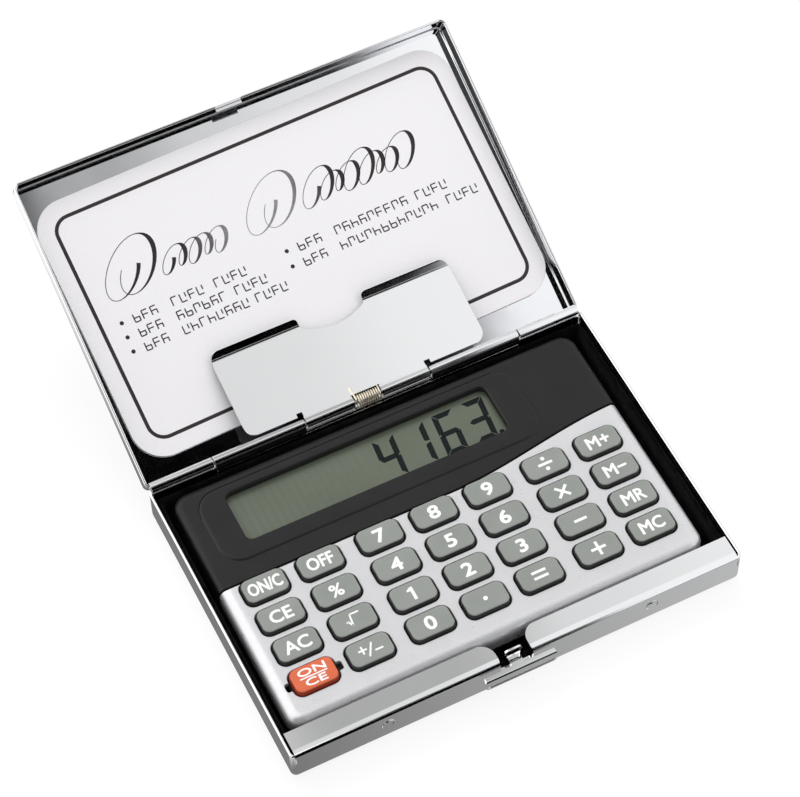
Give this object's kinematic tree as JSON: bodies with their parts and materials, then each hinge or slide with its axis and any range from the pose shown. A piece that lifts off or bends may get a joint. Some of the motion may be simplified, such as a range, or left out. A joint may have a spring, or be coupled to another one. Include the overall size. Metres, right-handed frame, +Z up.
{
  "type": "clamshell card case with pocket calculator",
  "caption": "Chrome clamshell card case: a key-and-display calculator lies in the velvet-lined base, and a sprung flap holds cards in the hinged lid.",
  "frame": {"origin": "centre of the base's flat underside", "axes": "+X along the hinge, to the right of someone using the keys; +Y from the front edge to the hinge; +Z up out of the keys"},
  "size_m": [0.092, 0.1244, 0.0345],
  "materials": {
    "chrome": "polished",
    "velvet": "flocked",
    "black_plastic": "matte",
    "silver_plastic": "metallic satin",
    "key_grey": "satin",
    "key_red": "satin",
    "lcd_glass": "clear over grey-green",
    "reflector_film": "satin",
    "steel": "satin",
    "spring_wire": "bright",
    "card": "semi-gloss",
    "board": "gloss",
    "membrane_rubber": "matte",
    "foam_tape": "matte",
    "epoxy": "gloss"
  },
  "bodies": {
    "base": {"base_shell": "chrome", "base_hinge_leaf": "chrome", "base_liner": "velvet", "upper_housing": "black_plastic", "rear_cover": "black_plastic", "battery_door": "black_plastic", "keypad_plate": "silver_plastic", "lcd_panel": "lcd_glass", "lcd_reflector": "reflector_film", "hinge_pin": "steel", "button_cell": "steel", "cell_contact_minus": "steel", "cell_contact_plus": "steel", "case_screw_1": "steel", "case_screw_2": "steel", "case_screw_3": "steel", "case_screw_4": "steel", "circuit_board": "board", "key_membrane": "membrane_rubber", "zebra_strip": "membrane_rubber", "adhesive_pad": "foam_tape", "chip_cover": "epoxy"},
    "lid": {"lid_shell": "chrome", "lid_hinge_leaf": "chrome", "info_card": "card", "retainer_spring": "spring_wire"},
    "retainer": {"card_retainer": "chrome"},
    "latch": {"latch_tab": "chrome"},
    "button_on_c": {"key_on_c": "key_grey"},
    "button_off": {"key_off": "key_grey"},
    "button_7": {"key_7": "key_grey"},
    "button_8": {"key_8": "key_grey"},
    "button_9": {"key_9": "key_grey"},
    "button_divide": {"key_divide": "key_grey"},
    "button_m_plus": {"key_m_plus": "key_grey"},
    "button_ce": {"key_ce": "key_grey"},
    "button_percent": {"key_percent": "key_grey"},
    "button_4": {"key_4": "key_grey"},
    "button_5": {"key_5": "key_grey"},
    "button_6": {"key_6": "key_grey"},
    "button_multiply": {"key_multiply": "key_grey"},
    "button_m_minus": {"key_m_minus": "key_grey"},
    "button_ac": {"key_ac": "key_grey"},
    "button_root": {"key_root": "key_grey"},
    "button_1": {"key_1": "key_grey"},
    "button_2": {"key_2": "key_grey"},
    "button_3": {"key_3": "key_grey"},
    "button_minus": {"key_minus": "key_grey"},
    "button_mr": {"key_mr": "key_grey"},
    "button_reset": {"key_reset": "key_red"},
    "button_sign": {"key_sign": "key_grey"},
    "button_0": {"key_0": "key_grey"},
    "button_point": {"key_point": "key_grey"},
    "button_equals": {"key_equals": "key_grey"},
    "button_plus": {"key_plus": "key_grey"},
    "button_mc": {"key_mc": "key_grey"}
  },
  "joints": [
    {"name": "lid_hinge", "type": "hinge", "parent": "base", "child": "lid", "pos_m": [0, 0.0315, 0.008], "axis": [1, 0, 0], "range_deg": [0, 155.3]},
    {"name": "card_retainer_hinge", "type": "hinge", "parent": "lid", "child": "retainer", "pos_m": [0, 0.0315, 0.008], "axis": [-1, 0, 0], "range_deg": [-70, 0], "stiffness_Nm_per_rad": 0.002, "springref_deg": 20.05, "deforming": ["retainer_spring"]},
    {"name": "latch_slide", "type": "slide", "parent": "base", "child": "latch", "axis": [0, 1, 0], "range_m": [0, 0.0006], "stiffness_N_per_m": 200, "springref_m": -0.0005},
    {"name": "press_on_c", "type": "slide", "parent": "base", "child": "button_on_c", "axis": [0, 0, 1], "range_m": [-0.0006, 0], "stiffness_N_per_m": 20, "springref_m": 0.0006},
    {"name": "press_off", "type": "slide", "parent": "base", "child": "button_off", "axis": [0, 0, 1], "range_m": [-0.0006, 0], "stiffness_N_per_m": 20, "springref_m": 0.0006},
    {"name": "press_7", "type": "slide", "parent": "base", "child": "button_7", "axis": [0, 0, 1], "range_m": [-0.0006, 0], "stiffness_N_per_m": 20, "springref_m": 0.0006},
    {"name": "press_8", "type": "slide", "parent": "base", "child": "button_8", "axis": [0, 0, 1], "range_m": [-0.0006, 0], "stiffness_N_per_m": 20, "springref_m": 0.0006},
    {"name": "press_9", "type": "slide", "parent": "base", "child": "button_9", "axis": [0, 0, 1], "range_m": [-0.0006, 0], "stiffness_N_per_m": 20, "springref_m": 0.0006},
    {"name": "press_divide", "type": "slide", "parent": "base", "child": "button_divide", "axis": [0, 0, 1], "range_m": [-0.0006, 0], "stiffness_N_per_m": 20, "springref_m": 0.0006},
    {"name": "press_m_plus", "type": "slide", "parent": "base", "child": "button_m_plus", "axis": [0, 0, 1], "range_m": [-0.0006, 0], "stiffness_N_per_m": 20, "springref_m": 0.0006},
    {"name": "press_ce", "type": "slide", "parent": "base", "child": "button_ce", "axis": [0, 0, 1], "range_m": [-0.0006, 0], "stiffness_N_per_m": 20, "springref_m": 0.0006},
    {"name": "press_percent", "type": "slide", "parent": "base", "child": "button_percent", "axis": [0, 0, 1], "range_m": [-0.0006, 0], "stiffness_N_per_m": 20, "springref_m": 0.0006},
    {"name": "press_4", "type": "slide", "parent": "base", "child": "button_4", "axis": [0, 0, 1], "range_m": [-0.0006, 0], "stiffness_N_per_m": 20, "springref_m": 0.0006},
    {"name": "press_5", "type": "slide", "parent": "base", "child": "button_5", "axis": [0, 0, 1], "range_m": [-0.0006, 0], "stiffness_N_per_m": 20, "springref_m": 0.0006},
    {"name": "press_6", "type": "slide", "parent": "base", "child": "button_6", "axis": [0, 0, 1], "range_m": [-0.0006, 0], "stiffness_N_per_m": 20, "springref_m": 0.0006},
    {"name": "press_multiply", "type": "slide", "parent": "base", "child": "button_multiply", "axis": [0, 0, 1], "range_m": [-0.0006, 0], "stiffness_N_per_m": 20, "springref_m": 0.0006},
    {"name": "press_m_minus", "type": "slide", "parent": "base", "child": "button_m_minus", "axis": [0, 0, 1], "range_m": [-0.0006, 0], "stiffness_N_per_m": 20, "springref_m": 0.0006},
    {"name": "press_ac", "type": "slide", "parent": "base", "child": "button_ac", "axis": [0, 0, 1], "range_m": [-0.0006, 0], "stiffness_N_per_m": 20, "springref_m": 0.0006},
    {"name": "press_root", "type": "slide", "parent": "base", "child": "button_root", "axis": [0, 0, 1], "range_m": [-0.0006, 0], "stiffness_N_per_m": 20, "springref_m": 0.0006},
    {"name": "press_1", "type": "slide", "parent": "base", "child": "button_1", "axis": [0, 0, 1], "range_m": [-0.0006, 0], "stiffness_N_per_m": 20, "springref_m": 0.0006},
    {"name": "press_2", "type": "slide", "parent": "base", "child": "button_2", "axis": [0, 0, 1], "range_m": [-0.0006, 0], "stiffness_N_per_m": 20, "springref_m": 0.0006},
    {"name": "press_3", "type": "slide", "parent": "base", "child": "button_3", "axis": [0, 0, 1], "range_m": [-0.0006, 0], "stiffness_N_per_m": 20, "springref_m": 0.0006},
    {"name": "press_minus", "type": "slide", "parent": "base", "child": "button_minus", "axis": [0, 0, 1], "range_m": [-0.0006, 0], "stiffness_N_per_m": 20, "springref_m": 0.0006},
    {"name": "press_mr", "type": "slide", "parent": "base", "child": "button_mr", "axis": [0, 0, 1], "range_m": [-0.0006, 0], "stiffness_N_per_m": 20, "springref_m": 0.0006},
    {"name": "press_reset", "type": "slide", "parent": "base", "child": "button_reset", "axis": [0, 0, 1], "range_m": [-0.0006, 0], "stiffness_N_per_m": 20, "springref_m": 0.0006},
    {"name": "press_sign", "type": "slide", "parent": "base", "child": "button_sign", "axis": [0, 0, 1], "range_m": [-0.0006, 0], "stiffness_N_per_m": 20, "springref_m": 0.0006},
    {"name": "press_0", "type": "slide", "parent": "base", "child": "button_0", "axis": [0, 0, 1], "range_m": [-0.0006, 0], "stiffness_N_per_m": 20, "springref_m": 0.0006},
    {"name": "press_point", "type": "slide", "parent": "base", "child": "button_point", "axis": [0, 0, 1], "range_m": [-0.0006, 0], "stiffness_N_per_m": 20, "springref_m": 0.0006},
    {"name": "press_equals", "type": "slide", "parent": "base", "child": "button_equals", "axis": [0, 0, 1], "range_m": [-0.0006, 0], "stiffness_N_per_m": 20, "springref_m": 0.0006},
    {"name": "press_plus", "type": "slide", "parent": "base", "child": "button_plus", "axis": [0, 0, 1], "range_m": [-0.0006, 0], "stiffness_N_per_m": 20, "springref_m": 0.0006},
    {"name": "press_mc", "type": "slide", "parent": "base", "child": "button_mc", "axis": [0, 0, 1], "range_m": [-0.0006, 0], "stiffness_N_per_m": 20, "springref_m": 0.0006}
  ]
}
